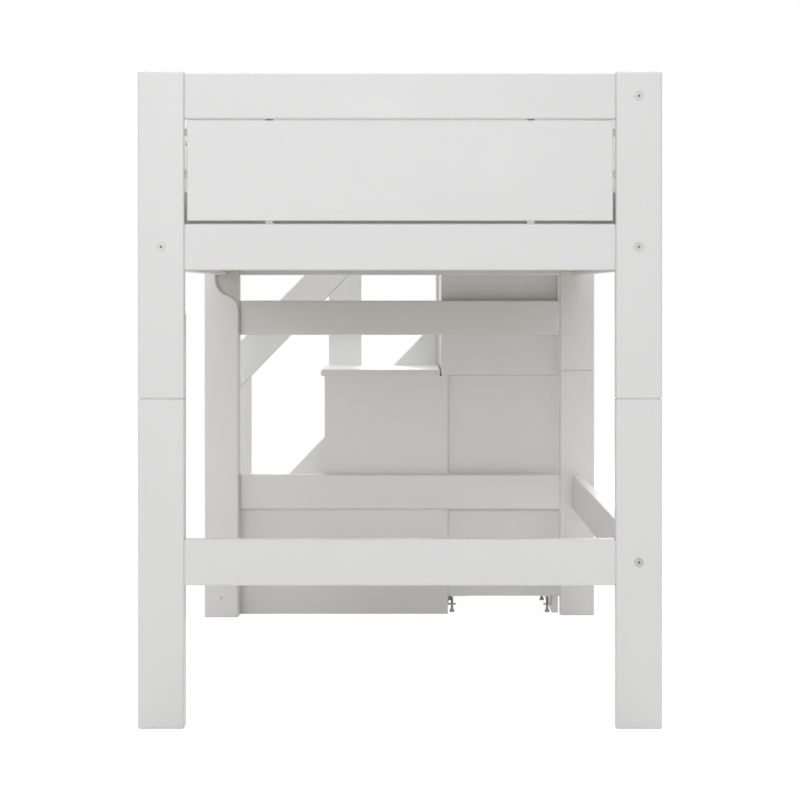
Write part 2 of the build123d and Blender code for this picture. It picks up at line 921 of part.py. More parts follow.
def all_pieces():
    """Every sub-part of the bed under its own name."""
    pieces = {}
    for end in ("near", "far"):
        for side, word in ((-1, "left"), (1, "right")):
            pieces[f"{end}_{word}_post_lower"] = corner_post(end, side, 0, post_split_height)
            pieces[f"{end}_{word}_post_upper"] = corner_post(end, side, post_split_height, bed_height)
    pieces["near_top_rail"] = near_top_rail()
    pieces["near_guard_panel"] = near_guard_panel()
    pieces["near_main_rail"] = near_main_rail()
    pieces["near_lower_rail"] = tenoned_rail(-post_inner, post_inner, near_post_middle, lower_rail_bottom)
    pieces["far_top_rail"] = far_top_rail()
    pieces["far_guard_panel"] = far_guard_panel()
    pieces["entry_post"] = entry_post()
    pieces["far_main_rail"] = far_main_rail()
    pieces["far_cross_rail"] = tenoned_rail(-post_inner, post_inner, far_post_middle, cross_rail_bottom)
    pieces["far_lower_rail"] = tenoned_rail(-post_inner, post_inner, far_post_middle, lower_rail_bottom)
    pieces["right_top_rail"] = right_top_rail()
    pieces["right_guard_panel"] = right_guard_panel()
    pieces["right_main_rail"] = right_main_rail()
    pieces["right_lower_rail"] = side_rail(1, lower_rail_bottom)
    pieces["left_main_rail"] = side_rail(-1, main_rail_bottom)
    pieces["near_support_post"] = support_post(-1)
    pieces["far_support_post"] = support_post(1)
    pieces["left_guard_rail"] = left_guard_rail()
    pieces["left_guard_panel"] = left_guard_panel()
    pieces["slat_ledgers"] = slat_ledgers()
    pieces["bed_slats"] = bed_slats()
    pieces["mattress"] = mattress()
    pieces["stair_near_side"] = stepped_side(stair_near, stair_near + stair_board)
    pieces["stair_far_side"] = stepped_side(stair_back, stair_far)
    pieces["niche_left_side"] = niche_left_side()
    pieces["niche_right_side"] = niche_right_side()
    pieces["niche_back"] = niche_back()
    pieces["landing_box_back"] = landing_box_back()
    pieces["landing_box_floor"] = landing_box_floor()
    pieces["landing_box_panel"] = landing_box_panel()
    pieces["lower_tread"] = tread(stair_left - tread_nose, second_riser, 0)
    pieces["upper_tread"] = tread(second_riser - tread_nose, third_riser - tread_end_gap, 1)
    pieces["landing_board"] = tread(third_riser - tread_nose, stair_right, 2)
    for index, word in enumerate(("lower", "middle", "upper")):
        pieces[f"{word}_drawer_front"] = drawer_front(index)
        pieces[f"{word}_drawer_box"] = drawer_box(index)
    pieces["drawer_runners"] = drawer_runners()
    pieces["stair_newels"] = stair_newels()
    pieces["landing_newels"] = landing_newels()
    pieces["handrail"] = handrail()
    pieces["stair_guard_boards"] = stair_guard_boards()
    pieces["landing_rails"] = landing_rails()
    for name, (side, x, y) in zip(("front_left", "front_right", "rear_left", "rear_right"), foot_places()):
        pieces[f"{name}_levelling_foot"] = levelling_foot(x, y)
    pieces["foot_brackets"] = foot_brackets()
    pieces["frame_bolts"] = frame_bolts() + square_nuts()
    pieces["wood_pegs"] = panel_pegs() + post_splices()
    return pieces


os.makedirs("parts", exist_ok=True)
for name, shape in all_pieces().items():
    if isinstance(shape, list):
        shape = Compound(children=[solid for item in shape for solid in item.solids()])
    export_step(shape, f"parts/{name}.step")
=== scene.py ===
import math

import bmesh
import bpy
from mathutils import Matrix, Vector


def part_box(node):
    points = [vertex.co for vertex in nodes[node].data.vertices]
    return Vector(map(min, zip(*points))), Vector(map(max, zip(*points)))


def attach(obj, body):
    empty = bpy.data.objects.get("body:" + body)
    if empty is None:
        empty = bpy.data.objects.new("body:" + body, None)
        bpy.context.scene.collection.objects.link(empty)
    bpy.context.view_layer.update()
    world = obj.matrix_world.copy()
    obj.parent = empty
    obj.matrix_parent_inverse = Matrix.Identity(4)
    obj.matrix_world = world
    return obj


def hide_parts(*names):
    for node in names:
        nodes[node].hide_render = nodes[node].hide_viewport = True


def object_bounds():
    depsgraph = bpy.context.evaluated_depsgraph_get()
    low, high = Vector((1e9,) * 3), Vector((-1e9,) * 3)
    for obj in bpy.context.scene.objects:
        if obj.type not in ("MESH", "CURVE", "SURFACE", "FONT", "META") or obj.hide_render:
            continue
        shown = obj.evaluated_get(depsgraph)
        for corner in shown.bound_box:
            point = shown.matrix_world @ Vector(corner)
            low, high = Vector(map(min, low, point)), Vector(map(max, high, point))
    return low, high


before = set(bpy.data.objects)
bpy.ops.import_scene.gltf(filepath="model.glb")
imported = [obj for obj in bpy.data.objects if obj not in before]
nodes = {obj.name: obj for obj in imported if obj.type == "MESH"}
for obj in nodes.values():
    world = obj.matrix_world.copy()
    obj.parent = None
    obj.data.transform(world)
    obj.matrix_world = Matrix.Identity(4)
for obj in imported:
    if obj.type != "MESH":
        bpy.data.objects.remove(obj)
cad_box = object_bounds()
scene = bpy.context.scene

# The bed stands in a bright studio and is seen from its near end, from far enough away that the end frame
# looks flat. The camera is level, at 855 mm above the floor, and its shift brings the feet into the picture.
camera_distance = 7.1105
camera_height = 0.8549
lens_length = 134.8
sensor_width = 36
lens_shift = -0.138
scene.view_settings.view_transform = "Standard"
camera_data = bpy.data.cameras.new("near_end_camera")
camera_data.lens = lens_length
camera_data.sensor_width = sensor_width
camera_data.shift_y = lens_shift
camera = bpy.data.objects.new("near_end_camera", camera_data)
camera.location = (0, -camera_distance, camera_height)
camera.rotation_euler = (math.radians(90), 0, 0)
scene.collection.objects.link(camera)
scene.camera = camera


class Shade:
    """One value in a finish. Arithmetic on it adds Math nodes, and node() adds any other node."""

    def __init__(self, tree, socket=None):
        self.tree = tree
        self.socket = socket

    def node(self, kind, settings=(), inputs=(), output=0):
        made = self.tree.nodes.new(kind)
        for name, value in dict(settings).items():
            setattr(made, name, value)
        for name, value in dict(inputs).items():
            if isinstance(value, Shade):
                self.tree.links.new(value.socket, made.inputs[name])
            else:
                made.inputs[name].default_value = value
        return Shade(self.tree, made.outputs[output] if made.outputs else None)

    def maths(self, operation, *values):
        return self.node("ShaderNodeMath", {"operation": operation}, enumerate(values))

    def __add__(self, other):
        return self.maths("ADD", self, other)

    def __radd__(self, other):
        return self.maths("ADD", other, self)

    def __sub__(self, other):
        return self.maths("SUBTRACT", self, other)

    def __rsub__(self, other):
        return self.maths("SUBTRACT", other, self)

    def __mul__(self, other):
        return self.maths("MULTIPLY", self, other)

    def __rmul__(self, other):
        return self.maths("MULTIPLY", other, self)

    def step(self, low, high):
        """Rises smoothly from 0 at low to 1 at high."""
        settings = {"interpolation_type": "SMOOTHSTEP"}
        return self.node("ShaderNodeMapRange", settings, {"Value": self, "From Min": low, "From Max": high})

    def blend(self, first, second):
        """Colour that goes from first to second as this value goes from 0 to 1."""
        first, second = (c if isinstance(c, Shade) else (*c, 1) for c in (first, second))
        return self.node("ShaderNodeMix", {"data_type": "RGBA"}, {0: self, 6: first, 7: second}, 2)

    def along(self, axis):
        """This place's part along X, Y or Z."""
        return self.node("ShaderNodeSeparateXYZ", {}, {"Vector": self}, axis)

    def places(self, scale=(1, 1, 1), turn=(0, 0, 0), shift=(0, 0, 0)):
        """Object coordinates, turned and shifted and then scaled."""
        spot = self.node("ShaderNodeTexCoord", output="Object")
        turned = self.node("ShaderNodeMapping", {}, {"Vector": spot, "Rotation": turn, "Location": shift})
        return self.node("ShaderNodeMapping", {}, {"Vector": turned, "Scale": scale})

    def noise(self, spot, scale, detail=2.0):
        return self.node("ShaderNodeTexNoise", {}, {"Vector": spot, "Scale": scale, "Detail": detail})

    def relief(self, strength, depth):
        """Bump of this height, in metres, for a Normal socket."""
        return self.node("ShaderNodeBump", {}, {"Height": self, "Strength": strength, "Distance": depth})


def toned(colour, share):
    """The same colour at this share of its strength."""
    return tuple(share * value for value in colour)


def surface(name, describe):
    """Material whose Principled inputs are what describe() gives."""
    material = bpy.data.materials.new(name)
    material.use_nodes = True
    material.node_tree.nodes.clear()
    start = Shade(material.node_tree)
    shader = start.node("ShaderNodeBsdfPrincipled", {}, describe(start))
    start.node("ShaderNodeOutputMaterial", {}, {"Surface": shader})
    return material


def dress(material, *names):
    """Gives CAD nodes their finish."""
    for name in names:
        for piece_slot in nodes[name].material_slots:
            piece_slot.material = material
        if not nodes[name].material_slots:
            nodes[name].data.materials.append(material)


# The studio is a white dome over a wide pale floor. A large soft lamp stands in front, low enough to reach
# under the bed, and weaker ones hang above, behind and at the sides. The camera and reflections see the dome
# and most of the floor as white paper, and the rest of the floor keeps the bed's soft shadow.
daylight = 0.3
floor_colour = (0.94, 0.94, 0.94)
floor_paper = 0.65
paper_white = 1.39
world = bpy.data.worlds.new("white_dome")
world.use_nodes = True
world.node_tree.nodes.clear()
sky = Shade(world.node_tree)


def seen_straight(start):
    """1 where the camera, a reflection or glass looks straight at it."""
    path = [start.node("ShaderNodeLightPath", output=name) for name in (
        "Is Camera Ray", "Is Glossy Ray", "Is Transmission Ray")]
    return path[0].maths("MAXIMUM", path[0].maths("MAXIMUM", path[0], path[1]), path[2])


light = sky.node("ShaderNodeBackground", {}, {"Color": (1, 1, 1, 1), "Strength": daylight})
paper = sky.node("ShaderNodeBackground", {}, {"Color": (1, 1, 1, 1), "Strength": 1.0})
mixed = sky.node("ShaderNodeMixShader", {}, {0: seen_straight(sky), 1: light, 2: paper})
sky.node("ShaderNodeOutputWorld", {}, {"Surface": mixed})
scene.world = world

floor_mesh = bpy.data.meshes.new("studio_floor")
floor_reach = 600.0
floor_corners = [(floor_reach * x, floor_reach * y, 0) for x, y in ((-1, -1), (1, -1), (1, 1), (-1, 1))]
floor_mesh.from_pydata(floor_corners, [], [(0, 1, 2, 3)])
studio_floor = bpy.data.objects.new("studio_floor", floor_mesh)
scene.collection.objects.link(studio_floor)
floor_paint = bpy.data.materials.new("pale_floor")
floor_paint.use_nodes = True
floor_paint.node_tree.nodes.clear()
ground = Shade(floor_paint.node_tree)
matt = ground.node("ShaderNodeBsdfDiffuse", {}, {"Color": (*floor_colour, 1)})
white = ground.node("ShaderNodeEmission", {}, {"Color": (1, 1, 1, 1), "Strength": paper_white})
mixed = ground.node("ShaderNodeMixShader", {}, {0: seen_straight(ground) * floor_paper, 1: matt, 2: white})
ground.node("ShaderNodeOutputMaterial", {}, {"Surface": mixed})
floor_mesh.materials.append(floor_paint)

for name, spot, aim, width, height, watts in (
    ("front_lamp", (-1.6, -17.0, 3.1), (0, 0, 0.6), 8.0, 3.0, 690.0),
    ("ceiling_lamp", (0, 0, 6.0), (0, 0, 0), 6.0, 6.0, 300.0),
    ("left_lamp", (-6.5, 2.4, 3.0), (0, 0.4, 0.6), 3.0, 2.4, 50.0),
    ("right_lamp", (6.5, 2.4, 3.0), (0, 0.4, 0.6), 3.0, 2.4, 50.0),
    ("back_lamp", (1.5, 7.4, 3.0), (0, 0.6, 0.6), 4.0, 2.4, 90.0),
):
    lamp_data = bpy.data.lights.new(name, "AREA")
    lamp_data.shape = "RECTANGLE"
    lamp_data.size = width
    lamp_data.size_y = height
    lamp_data.energy = watts
    lamp = bpy.data.objects.new(name, lamp_data)
    lamp.location = spot
    lamp.rotation_euler = (Vector(aim) - Vector(spot)).to_track_quat("-Z", "Y").to_euler()
    scene.collection.objects.link(lamp)


# The corner posts are solid pine, each in two halves on a loose tongue, planed and sprayed with white satin
# lacquer. The grain runs up the post and can just be felt through the lacquer.
lacquer_colour = (0.775, 0.775, 0.772)
lacquer_coat = 0.15
coat_roughness = 0.25
lacquer_relief = 0.00012
board_tone_spread = 0.012
grain_stretch = 3.5
grain_fineness = 170.0
peel_fineness = 420.0
cloud_size = 2.6


def lacquer(node, grain, turn=(0, 0, 0), roughness=0.36):
    """White satin lacquer for one board, over grain along X, Y or Z, or over fibreboard without grain."""
    seed = sum(ord(letter) for letter in node) % 97 / 9.7
    colour = toned(lacquer_colour, 1 + board_tone_spread * (seed / 10 - 0.5))
    scale = [grain_stretch if axis == grain else grain_fineness for axis in "XYZ"]

    def describe(start):
        fibres = start.noise(start.places(scale, turn, (seed, seed * 0.7, seed * 0.3)), 1.0, 3.0)
        peel = start.noise(start.places(), peel_fineness, 1.0)
        clouds = start.noise(start.places(shift=(seed, 0, 0)), cloud_size, 2.0)
        feel = fibres * (0.6 if grain else 0.15) + peel * 0.25
        return {
            "Base Color": clouds.step(0.3, 0.75).blend(toned(colour, 0.985), colour),
            "Roughness": roughness + (clouds - 0.5) * 0.12 + (fibres - 0.5) * 0.05,
            "Coat Weight": lacquer_coat,
            "Coat Roughness": coat_roughness,
            "Normal": feel.relief(0.35, lacquer_relief),
        }

    dress(surface(f"white_lacquer_{node}", describe), node)


for end in ("near", "far"):
    for side in ("left", "right"):
        for half in ("lower", "upper"):
            lacquer(f"{end}_{side}_post_{half}", "Z")

# The rails of the end frames are solid pine, tenoned into the posts. The far end has one rail more, under the
# main rail, and its top rail stops at the short entry post beside the way in.
for node in ("near_top_rail", "near_main_rail", "near_lower_rail", "far_top_rail", "far_main_rail",
             "far_cross_rail", "far_lower_rail"):
    lacquer(node, "X")
lacquer("entry_post", "Z")

# The long side rails are pine boards bolted between the posts, three on the right and one on the left. The
# left guard rail sits further out, on the two supports.
for node in ("right_top_rail", "right_main_rail", "right_lower_rail", "left_main_rail", "left_guard_rail"):
    lacquer(node, "Y")

# The guard panels are fibreboard, sprayed on all sides. Flat beech pegs hold them a few millimetres off their
# neighbours. Lacquer covers the pegs under a panel, and those at its ends are pale grey. Those over it carry
# painted shade, dark grey for the shadow in their narrow gap, and the beech inside the rails is bare.
for node in ("near_guard_panel", "far_guard_panel", "right_guard_panel", "left_guard_panel"):
    lacquer(node, None)
peg_painted_shade = (0.3, 0.3, 0.296)
peg_beech = (0.55, 0.36, 0.2)
peg_pale = (0.62, 0.62, 0.612)
peg_end_reach = 0.38
peg_showing_height = 0.97
peg_white_height = 1.0
peg_change = 0.002


def peg_wood(start):
    spot = start.places()
    aside = start.maths("ABSOLUTE", spot.along(0))
    height = spot.along(2)
    flecks = start.noise(start.places((60, 60, 900)), 1.0, 3.0)
    beech = flecks.blend(toned(peg_beech, 0.8), peg_beech)
    # Pegs above the panel's top get painted shade, dark grey for the shadow in their narrow gap; those at its
    # ends are pale grey.
    painted_shade_or_pale = aside.step(peg_end_reach, peg_end_reach + peg_change).blend(peg_painted_shade, peg_pale)
    lacquer_or_painted_shade = height.step(peg_white_height, peg_white_height + peg_change).blend(lacquer_colour, painted_shade_or_pale)
    return {
        "Base Color": height.step(peg_showing_height, peg_showing_height + peg_change).blend(beech, lacquer_or_painted_shade),
        "Roughness": 0.5 + flecks * 0.15,
        "Normal": flecks.relief(0.3, 0.0001),
    }


dress(surface("beech_pegs", peg_wood), "wood_pegs")

# The two supports are thick pine legs beside the left posts. Each narrows to a slim neck through an ogee and
# carries the left guard outside the side rail. Countersunk screws hold it to the post.
for node in ("near_support_post", "far_support_post"):
    lacquer(node, "Z")

# The bolts are steel with a low head and a hexagon socket, and they draw the side rails against the posts
# through square nuts. They are zinc plated, dull, with fine turning marks, and painted shade darkens the
# socket.
steel_colour = (0.36, 0.36, 0.356)
socket_painted_shade = (0.13, 0.13, 0.13)
near_plane = cad_box[0][1]
far_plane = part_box("far_right_post_lower")[1].y
socket_top = 0.0005
socket_floor = 0.0028


def plated_steel(start):
    turned = start.noise(start.places((900, 120, 900)), 1.0, 2.0)
    clouds = start.noise(start.places(), 90.0, 2.0)
    along = start.places().along(1)
    sunk = start.maths("MINIMUM", along - near_plane, far_plane - along)
    # Painted shade: the socket and the sides of the head are darkened, from just below its face down to the
    # socket's floor.
    inside = sunk.step(socket_top, socket_top + 0.0005) * (1 - sunk.step(socket_floor, socket_floor + 0.0002))
    bright = clouds.blend(toned(steel_colour, 0.82), steel_colour)
    return {
        "Base Color": inside.blend(bright, socket_painted_shade),
        "Metallic": 0.85,
        "Roughness": 0.34 + turned * 0.16,
        "Normal": turned.relief(0.25, 0.00005),
    }


zinc_finish = surface("plated_steel", plated_steel)
dress(zinc_finish, "frame_bolts")

# The slatted base is planed, unfinished pine with growth rings and a few knots. Its fourteen slats lie on two
# ledgers, which are screwed inside the main side rails.
pine_light = (0.66, 0.53, 0.36)
pine_dark = (0.54, 0.40, 0.24)
pine_knot = (0.2, 0.09, 0.035)
ring_spacing = 0.007
ring_wander = 26


def bare_pine(name, turn, *names):
    """Unfinished pine with its grain along X once its places are turned."""
    def describe(start):
        spot = start.places((1, 1, 1), turn)
        drift = start.noise(start.places((1.6, 14, 14), turn), 1.0, 2.0)
        ring = start.maths("SINE", spot.along(1) * (2 * math.pi / ring_spacing) + drift * ring_wander)
        fibres = start.noise(start.places((6, 500, 500), turn), 1.0, 3.0)
        spots = start.places((3.1, 13, 13), turn, (0.37, 0.21, 0))
        knot = 1 - start.node("ShaderNodeTexVoronoi", {}, {"Vector": spots, "Scale": 1.0}).step(0.05, 0.13)
        wood = (ring * 0.3 + fibres * 0.6 + 0.2).blend(pine_light, pine_dark)
        return {
            "Base Color": knot.blend(wood, pine_knot),
            "Roughness": 0.62 + fibres * 0.14 - knot * 0.1,
            "Normal": (fibres * 0.5 + ring * 0.12).relief(0.5, 0.00018),
        }

    dress(surface(name, describe), *names)


bare_pine("bare_pine_slats", (0, 0, 0), "bed_slats")
bare_pine("bare_pine_ledgers", (0, 0, math.radians(90)), "slat_ledgers")

# Countersunk screws hold each slat to its ledger and each ledger to its rail. They are the same steel as the
# bolts, with a cross recess. One tree sets a head at each place, facing the way its board faces.


head_diameter = 0.008
ledger_head_diameter = 0.007
head_depth = 0.0012
drawer_head_depth = 0.0016
head_sides = 16
recess_reach = 0.55
recess_width = 0.11


def started(name, **kinds):
    """New tree of geometry nodes, and what it is given: a mesh and then these named inputs."""
    tree = bpy.data.node_groups.new(name, "GeometryNodeTree")
    tree.interface.new_socket("Geometry", in_out="INPUT", socket_type="NodeSocketGeometry")
    tree.interface.new_socket("Geometry", in_out="OUTPUT", socket_type="NodeSocketGeometry")
    for label, kind in kinds.items():
        tree.interface.new_socket(label.replace("_", " "), in_out="INPUT", socket_type=f"NodeSocket{kind}")
    given = tree.nodes.new("NodeGroupInput")
    return tree, Shade(tree), [Shade(tree, given.outputs[index]) for index in range(1 + len(kinds))]


def ended(build, geometry, material):
    """Ends a tree of geometry nodes: instances made real, with their material."""
    solid = build.node("GeometryNodeRealizeInstances", {}, {"Geometry": geometry})
    coated = build.node("GeometryNodeSetMaterial", {}, {"Geometry": solid, "Material": material})
    build.node("NodeGroupOutput", {}, {0: coated})


def head_tree():
    """Geometry nodes that turn each point of a mesh into a screw head with a cross recess."""
    tree, build, (points, diameter, depth, facing, metal) = started(
        "screw_heads", Head_Diameter="Float", Head_Depth="Float", Facing="Vector", Metal="Material")
    disc = build.node("GeometryNodeMeshCylinder", {}, {
        "Vertices": head_sides, "Radius": diameter * 0.5, "Depth": depth})
    arm = build.node("ShaderNodeCombineXYZ", {}, {
        "X": diameter * recess_reach, "Y": diameter * recess_width, "Z": depth})
    bar = build.node("GeometryNodeMeshCube", {}, {"Size": arm})
    lift = build.node("ShaderNodeCombineXYZ", {}, {"Z": depth * 0.7})
    bar = build.node("GeometryNodeTransform", {}, {"Geometry": bar, "Translation": lift})
    crossed = build.node("GeometryNodeTransform", {}, {"Geometry": bar, "Rotation": (0, 0, math.radians(90))})
    cut = tree.nodes.new("GeometryNodeMeshBoolean")
    cut.operation = "DIFFERENCE"
    tree.links.new(disc.socket, cut.inputs[0])
    for tool in (bar, crossed):
        tree.links.new(tool.socket, cut.inputs[1])
    turn = build.node("FunctionNodeAlignRotationToVector", {"axis": "Z"}, {"Vector": facing})
    heads = build.node("GeometryNodeInstanceOnPoints", {}, {
        "Points": points, "Instance": Shade(tree, cut.outputs[0]), "Rotation": turn})
    ended(build, heads, metal)
    return tree


def grown(name, points, edges, tree, **values):
    """Plain mesh object that a tree of geometry nodes makes from points and edges."""
    mesh = bpy.data.meshes.new(name)
    mesh.from_pydata(points, edges, [])
    seed = bpy.data.objects.new(name, mesh)
    scene.collection.objects.link(seed)
    modifier = seed.modifiers.new("grow", "NODES")
    modifier.node_group = tree
    for item in tree.interface.items_tree:
        if item.item_type == "SOCKET" and item.in_out == "INPUT" and item.name in values:
            modifier[item.identifier] = values[item.name]
    ready = seed.evaluated_get(bpy.context.evaluated_depsgraph_get())
    made = bpy.data.meshes.new_from_object(ready)
    seed.modifiers.remove(modifier)
    seed.data = made
    return seed


screw_heads = head_tree()


def screws(name, body, places, facing, diameter=head_diameter, depth=head_depth):
    """Screw heads at these places on one body, facing one way."""
    made = grown(name, places, [], screw_heads, **{
        "Head Diameter": diameter, "Head Depth": depth, "Facing": facing, "Metal": zinc_finish})
    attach(made, body)


slat_low, slat_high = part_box("bed_slats")
ledger_low, ledger_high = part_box("slat_ledgers")
slat_count = 14
slat_width = 0.07
slat_pitch = (slat_high.y - slat_low.y - slat_width) / (slat_count - 1)
slat_screw_inset = 0.014
slat_screw_offset = 0.018
slat_screws = []
for index in range(slat_count):
    for side in (-1, 1):
        for offset in (-slat_screw_offset, slat_screw_offset):
            y = slat_low.y + slat_width / 2 + index * slat_pitch + offset
            slat_screws.append((side * (slat_high.x - slat_screw_inset), y, slat_high.z))
screws("slat_screws", "bed", slat_screws, (0, 0, 1))
ledger_screw_count = 9
ledger_face = 0.4245
for side, word in ((-1, "left"), (1, "right")):
    places = []
    for index in range(ledger_screw_count):
        share = (index + 0.5) / ledger_screw_count
        y = ledger_low.y + share * (ledger_high.y - ledger_low.y)
        places.append((side * ledger_face, y, (ledger_low.z + ledger_high.z) / 2))
    screws(f"{word}_ledger_screws", "bed", places, (-side, 0, 0), ledger_head_diameter)

# The mattress is a foam block in a quilted, knitted cotton cover. The cover is sewn through in squares and
# edged with piping, its squares swell a little under pressure, and its sides draw in between the corners.
bed_low, bed_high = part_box("mattress")
cover_colour = (0.74, 0.735, 0.71)
squares_across = 8
squares_along = 18
square_parts = 8
side_parts = 6
edge_round = 0.020
corner_round = 0.060
side_waist = 0.005
waist_reach = 0.06
cover_clearance = 0.0035
sewn_dip = 0.0022
swell_limit = 0.0065
swell_pressure = 4
swell_frames = 20
knit_loop = 0.0024


def eased_corner(u, v):
    """Moves a point of a unit square's corner on to the quarter circle in it."""
    far = max(u, v)
    return (u * far / math.hypot(u, v), v * far / math.hypot(u, v)) if far > 0 else (0, 0)


def mattress_point(place, half):
    """Rounds a point on a box of these half sizes into the mattress's own form, about its centre."""
    x, y, z = place
    inset = min(half.x - abs(x), half.y - abs(y))
    drop = half.z - abs(z)
    u = max(0, 1 - inset / edge_round)
    v = max(0, 1 - drop / edge_round)
    if u > 0 and v > 0:
        u, v = eased_corner(u, v)
        inset = edge_round * (1 - u)
        z = math.copysign(half.z - edge_round * (1 - v), z)
    waist = side_waist * (1 - (z / half.z) ** 2) * max(0, 1 - inset / waist_reach)
    limit = inset + waist
    x = max(-half.x + limit, min(half.x - limit, x))
    y = max(-half.y + limit, min(half.y - limit, y))
    u = max(0, (abs(x) - half.x + corner_round) / corner_round)
    v = max(0, (abs(y) - half.y + corner_round) / corner_round)
    if u > 0 and v > 0:
        u, v = eased_corner(u, v)
        x = math.copysign(half.x - corner_round * (1 - u), x)
        y = math.copysign(half.y - corner_round * (1 - v), y)
    return Vector((x, y, z))


def quilted_cover():
    """Closed shell of the cover, and the points of it that are sewn down."""
    half = (bed_high - bed_low) / 2 - Vector((cover_clearance,) * 3)
    centre = (bed_high + bed_low) / 2
    counts = (squares_across * square_parts, squares_along * square_parts, side_parts)
    shell = bmesh.new()
    known = {}
    held = []

    def corner(i, j, k):
        if (i, j, k) not in known:
            place = [(2 * n / count - 1) * size for n, count, size in zip((i, j, k), counts, half)]
            sewn = k == counts[2] and (i % square_parts == 0 or j % square_parts == 0)
            rim = k == counts[2] and (i in (0, counts[0]) or j in (0, counts[1]))
            vertex = shell.verts.new(mattress_point(place, half) + centre)
            if sewn and 0 < i < counts[0] and 0 < j < counts[1]:
                vertex.co.z -= sewn_dip
            known[i, j, k] = vertex
            held.append(1.0 if sewn or rim or k == 0 else 0.0)
        return known[i, j, k]

    for first, second, fixed in ((0, 1, 2), (1, 2, 0), (2, 0, 1)):
        for level in (0, counts[fixed]):
            for a in range(counts[first]):
                for b in range(counts[second]):
                    ring = []
                    for da, db in ((0, 0), (1, 0), (1, 1), (0, 1)):
                        key = [0, 0, 0]
                        key[first], key[second], key[fixed] = a + da, b + db, level
                        ring.append(corner(*key))
                    shell.faces.new(ring if level else ring[::-1])
    mesh = bpy.data.meshes.new("mattress_cover")
    shell.to_mesh(mesh)
    shell.free()
    return mesh, held, {key: index for index, key in enumerate(known)}, counts


cover_mesh, held, cover_index, cover_counts = quilted_cover()
cover = bpy.data.objects.new("mattress_cover", cover_mesh)
scene.collection.objects.link(cover)
start_places = [vertex.co.copy() for vertex in cover_mesh.vertices]
group = cover.vertex_groups.new(name="sewn")
for index, weight in enumerate(held):
    if weight:
        group.add([index], weight, "REPLACE")
cloth = cover.modifiers.new("swell", "CLOTH")
cloth.settings.quality = 5
cloth.settings.mass = 0.3
cloth.settings.tension_stiffness = 8
cloth.settings.compression_stiffness = 8
cloth.settings.shear_stiffness = 4
cloth.settings.bending_stiffness = 0.4
cloth.settings.use_pressure = True
cloth.settings.uniform_pressure_force = swell_pressure
cloth.settings.vertex_group_mass = "sewn"
cloth.settings.effector_weights.gravity = 0
cloth.collision_settings.use_collision = False
for step in range(1, swell_frames + 1):
    scene.frame_set(step)
swollen = cover.evaluated_get(bpy.context.evaluated_depsgraph_get())
settled = [vertex.co.copy() for vertex in swollen.data.vertices]
cover.modifiers.remove(cloth)
scene.frame_set(1)
farthest = 0
for vertex, begin, end in zip(cover_mesh.vertices, start_places, settled):
    move = end - begin
    farthest = max(farthest, move.length)
    if move.length > swell_limit:
        move *= swell_limit / move.length
    vertex.co = begin + move
print("cover swell before the limit", round(farthest, 4))
smooth = cover.modifiers.new("smooth", "SUBSURF")
smooth.levels = 1
smooth.render_levels = 1
for polygon in cover_mesh.polygons:
    polygon.use_smooth = True


def knitted_cotton(start):
    spot = start.places()
    x, y, z = (spot.along(axis) for axis in range(3))
    loop = 2 * math.pi / knit_loop
    ribs = start.maths("SINE", (x + z) * loop) * start.maths("SINE", (y + z * 0.5) * (loop * 0.7))
    fuzz = start.noise(spot, 1500.0, 2.0)
    clouds = start.noise(spot, 6.0, 3.0)
    pale = clouds.blend(toned(cover_colour, 0.965), cover_colour)
    return {
        "Base Color": (ribs * 0.5 + 0.5).blend(toned(cover_colour, 0.93), pale),
        "Roughness": 0.88 + fuzz * 0.08,
        "Sheen Weight": 0.25,
        "Sheen Roughness": 0.5,
        "Normal": (ribs * 0.5 + fuzz * 0.7).relief(0.6, 0.0004),
    }


cotton = surface("quilted_cotton", knitted_cotton)
cover_mesh.materials.append(cotton)
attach(cover, "bed")
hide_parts("mattress")

# Piping runs round the cover's upper and lower edge, where the quilted top and the bottom are sewn to the
# sides. It is the same cotton, folded over a thin cord.
piping_radius = 0.0028
piping_sides = 8


def edge_loop(level):
    """Points of the cover's edge, on the top or on the bottom, in order."""
    across, along, up = cover_counts
    ring = [(i, 0) for i in range(across)] + [(across, j) for j in range(along)]
    ring += [(i, along) for i in range(across, 0, -1)] + [(0, j) for j in range(along, 0, -1)]
    return [cover_mesh.vertices[cover_index[i, j, up if level else 0]].co.copy() for i, j in ring]


def piping(name, level):
    """Closed round cord along one edge of the cover."""
    line = edge_loop(level)
    cord = bmesh.new()
    rings = []
    for index, place in enumerate(line):
        ahead = (line[(index + 1) % len(line)] - line[index - 1]).normalized()
        outward = ahead.cross(Vector((0, 0, 1))).normalized()
        upward = outward.cross(ahead)
        ring = []
        for turn in range(piping_sides):
            angle = 2 * math.pi * turn / piping_sides
            spoke = math.cos(angle) * outward + math.sin(angle) * upward
            ring.append(cord.verts.new(place + piping_radius * spoke))
        rings.append(ring)
    for first, second in zip(rings, rings[1:] + rings[:1]):
        for turn in range(piping_sides):
            after = (turn + 1) % piping_sides
            cord.faces.new((first[turn], second[turn], second[after], first[after]))
    bmesh.ops.recalc_face_normals(cord, faces=cord.faces)
    mesh = bpy.data.meshes.new(name)
    cord.to_mesh(mesh)
    cord.free()
    for polygon in mesh.polygons:
        polygon.use_smooth = True
    mesh.materials.append(cotton)
    made = bpy.data.objects.new(name, mesh)
    scene.collection.objects.link(made)
    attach(made, "bed")


piping("mattress_upper_piping", True)
piping("mattress_lower_piping", False)

# Lockstitches run along every line of the quilting. The thread is a little greyer than the cotton, and each
# stitch is a short, plump length of it.
stitch_length = 0.006
stitch_pitch = 0.0095
stitch_thickness = 0.0011
stitch_lift = 0.0004
thread_colour = (0.62, 0.615, 0.59)


